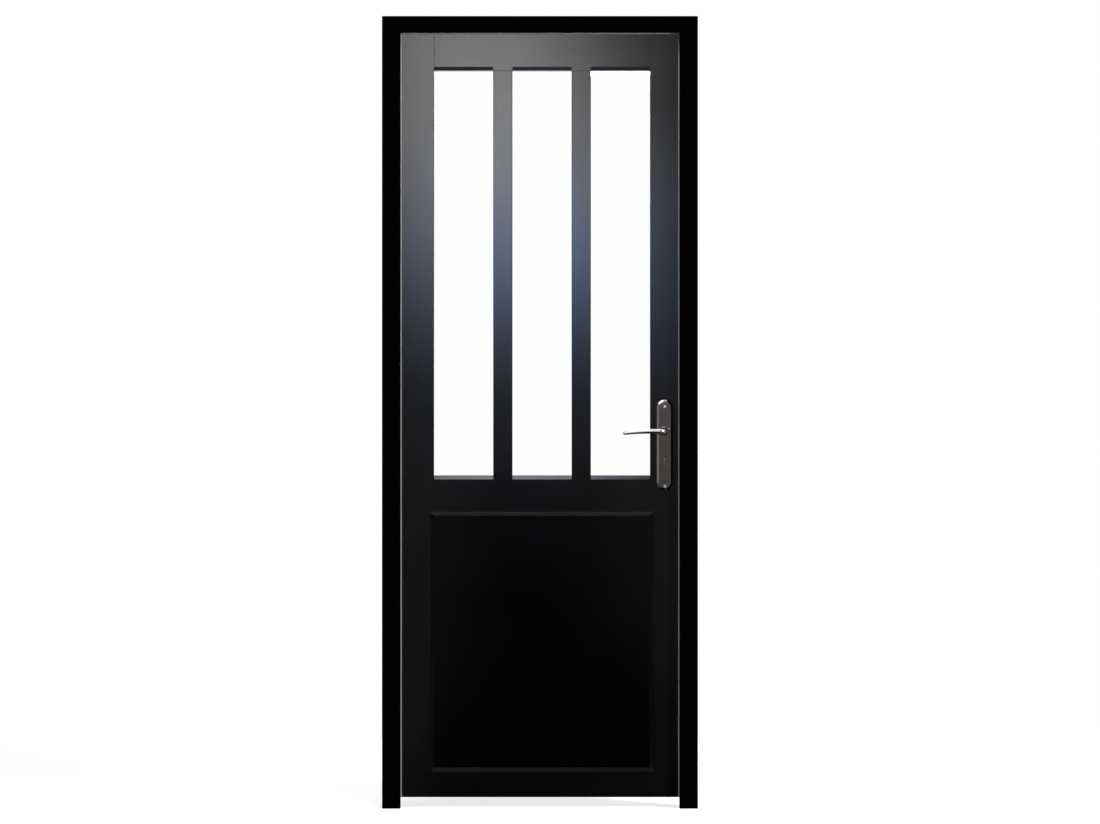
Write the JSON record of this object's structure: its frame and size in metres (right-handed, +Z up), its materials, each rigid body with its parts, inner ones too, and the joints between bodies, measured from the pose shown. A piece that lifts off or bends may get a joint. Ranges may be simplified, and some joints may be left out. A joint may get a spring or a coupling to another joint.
{
  "type": "part-glazed atelier door with frame",
  "caption": "Atelier-style hinged door in a rebated frame: tall clear panes over a flat lower panel, lever handles on long plates and a mortise lock.",
  "frame": {"origin": "middle of the clear width at the foot of the frame, on the leaf's middle plane", "axes": "+X from the hinges to the lock, +Y from the side that is pushed to the side with the hinge knuckles, +Z up"},
  "size_m": [0.837, 0.149, 2.1],
  "materials": {
    "frame_paint": "deep black matt paint",
    "leaf_paint": "satin black paint",
    "clear_glass": "clear float glass, polished",
    "grey_seal": "light grey soft seal",
    "handle_steel": "dark brushed steel",
    "screw_steel": "bright zinc",
    "hinge_steel": "black coated steel",
    "lock_steel": "zinc-plated steel",
    "washer_brass": "satin brass",
    "bush_plastic": "black moulded plastic"
  },
  "bodies": {
    "frame": {"hinge_jamb": "frame_paint", "strike_jamb": "frame_paint", "head_jamb": "frame_paint", "frame_corner_screws": "screw_steel", "hinge_side_seal": "grey_seal", "strike_side_seal": "grey_seal", "head_seal": "grey_seal", "strike_plate": "lock_steel", "strike_plate_screws": "screw_steel", "hinge_pins": "lock_steel", "hinge_washers": "washer_brass", "hinge_screws_in_jamb": "screw_steel", "top_hinge_jamb_half": "hinge_steel", "middle_hinge_jamb_half": "hinge_steel", "bottom_hinge_jamb_half": "hinge_steel"},
    "leaf": {"hinge_stile": "leaf_paint", "lock_stile": "leaf_paint", "top_rail": "leaf_paint", "middle_rail": "leaf_paint", "bottom_rail": "leaf_paint", "hinge_side_glazing_bar": "leaf_paint", "lock_side_glazing_bar": "leaf_paint", "lower_panel": "leaf_paint", "hinge_side_pane": "clear_glass", "middle_pane": "clear_glass", "lock_side_pane": "clear_glass", "hinge_screws_in_leaf": "screw_steel", "front_plate": "handle_steel", "back_plate": "handle_steel", "plate_screws": "screw_steel", "front_lever_bush": "bush_plastic", "back_lever_bush": "bush_plastic", "lock_case": "lock_steel", "lock_cap": "lock_steel", "lock_tumbler": "lock_steel", "lock_faceplate": "lock_steel", "faceplate_screws": "screw_steel", "top_hinge_leaf_half": "hinge_steel", "middle_hinge_leaf_half": "hinge_steel", "bottom_hinge_leaf_half": "hinge_steel", "hinge_side_top_bead": "leaf_paint", "hinge_side_right_bead": "leaf_paint", "hinge_side_bottom_bead": "leaf_paint", "hinge_side_left_bead": "leaf_paint", "middle_top_bead": "leaf_paint", "middle_right_bead": "leaf_paint", "middle_bottom_bead": "leaf_paint", "middle_left_bead": "leaf_paint", "lock_side_top_bead": "leaf_paint", "lock_side_right_bead": "leaf_paint", "lock_side_bottom_bead": "leaf_paint", "lock_side_left_bead": "leaf_paint"},
    "handle_set": {"front_lever": "handle_steel", "back_lever": "handle_steel", "spindle": "lock_steel", "follower": "lock_steel", "lever_grub_screws": "screw_steel"},
    "latch": {"latch_bolt": "lock_steel"},
    "dead_bolt": {"dead_bolt": "lock_steel"}
  },
  "joints": [
    {"name": "leaf_swing", "type": "hinge", "parent": "frame", "child": "leaf", "pos_m": [-0.388, 0.027, 1.048], "axis": [0, 0, 1], "range_deg": [0, 170]},
    {"name": "lever_turn", "type": "hinge", "parent": "leaf", "child": "handle_set", "pos_m": [0.3315, 0, 1], "axis": [0, -1, 0], "range_deg": [0, 40], "stiffness_Nm_per_rad": 1.2, "springref_deg": -20.05},
    {"name": "latch_slide", "type": "slide", "parent": "leaf", "child": "latch", "axis": [-1, 0, 0], "range_m": [0, 0.012]},
    {"name": "dead_bolt_slide", "type": "slide", "parent": "leaf", "child": "dead_bolt", "axis": [1, 0, 0], "range_m": [0, 0.014]}
  ],
  "couplings": [
    {"joint": "latch_slide", "follows": "lever_turn", "m_per_rad": 0.01717}
  ]
}
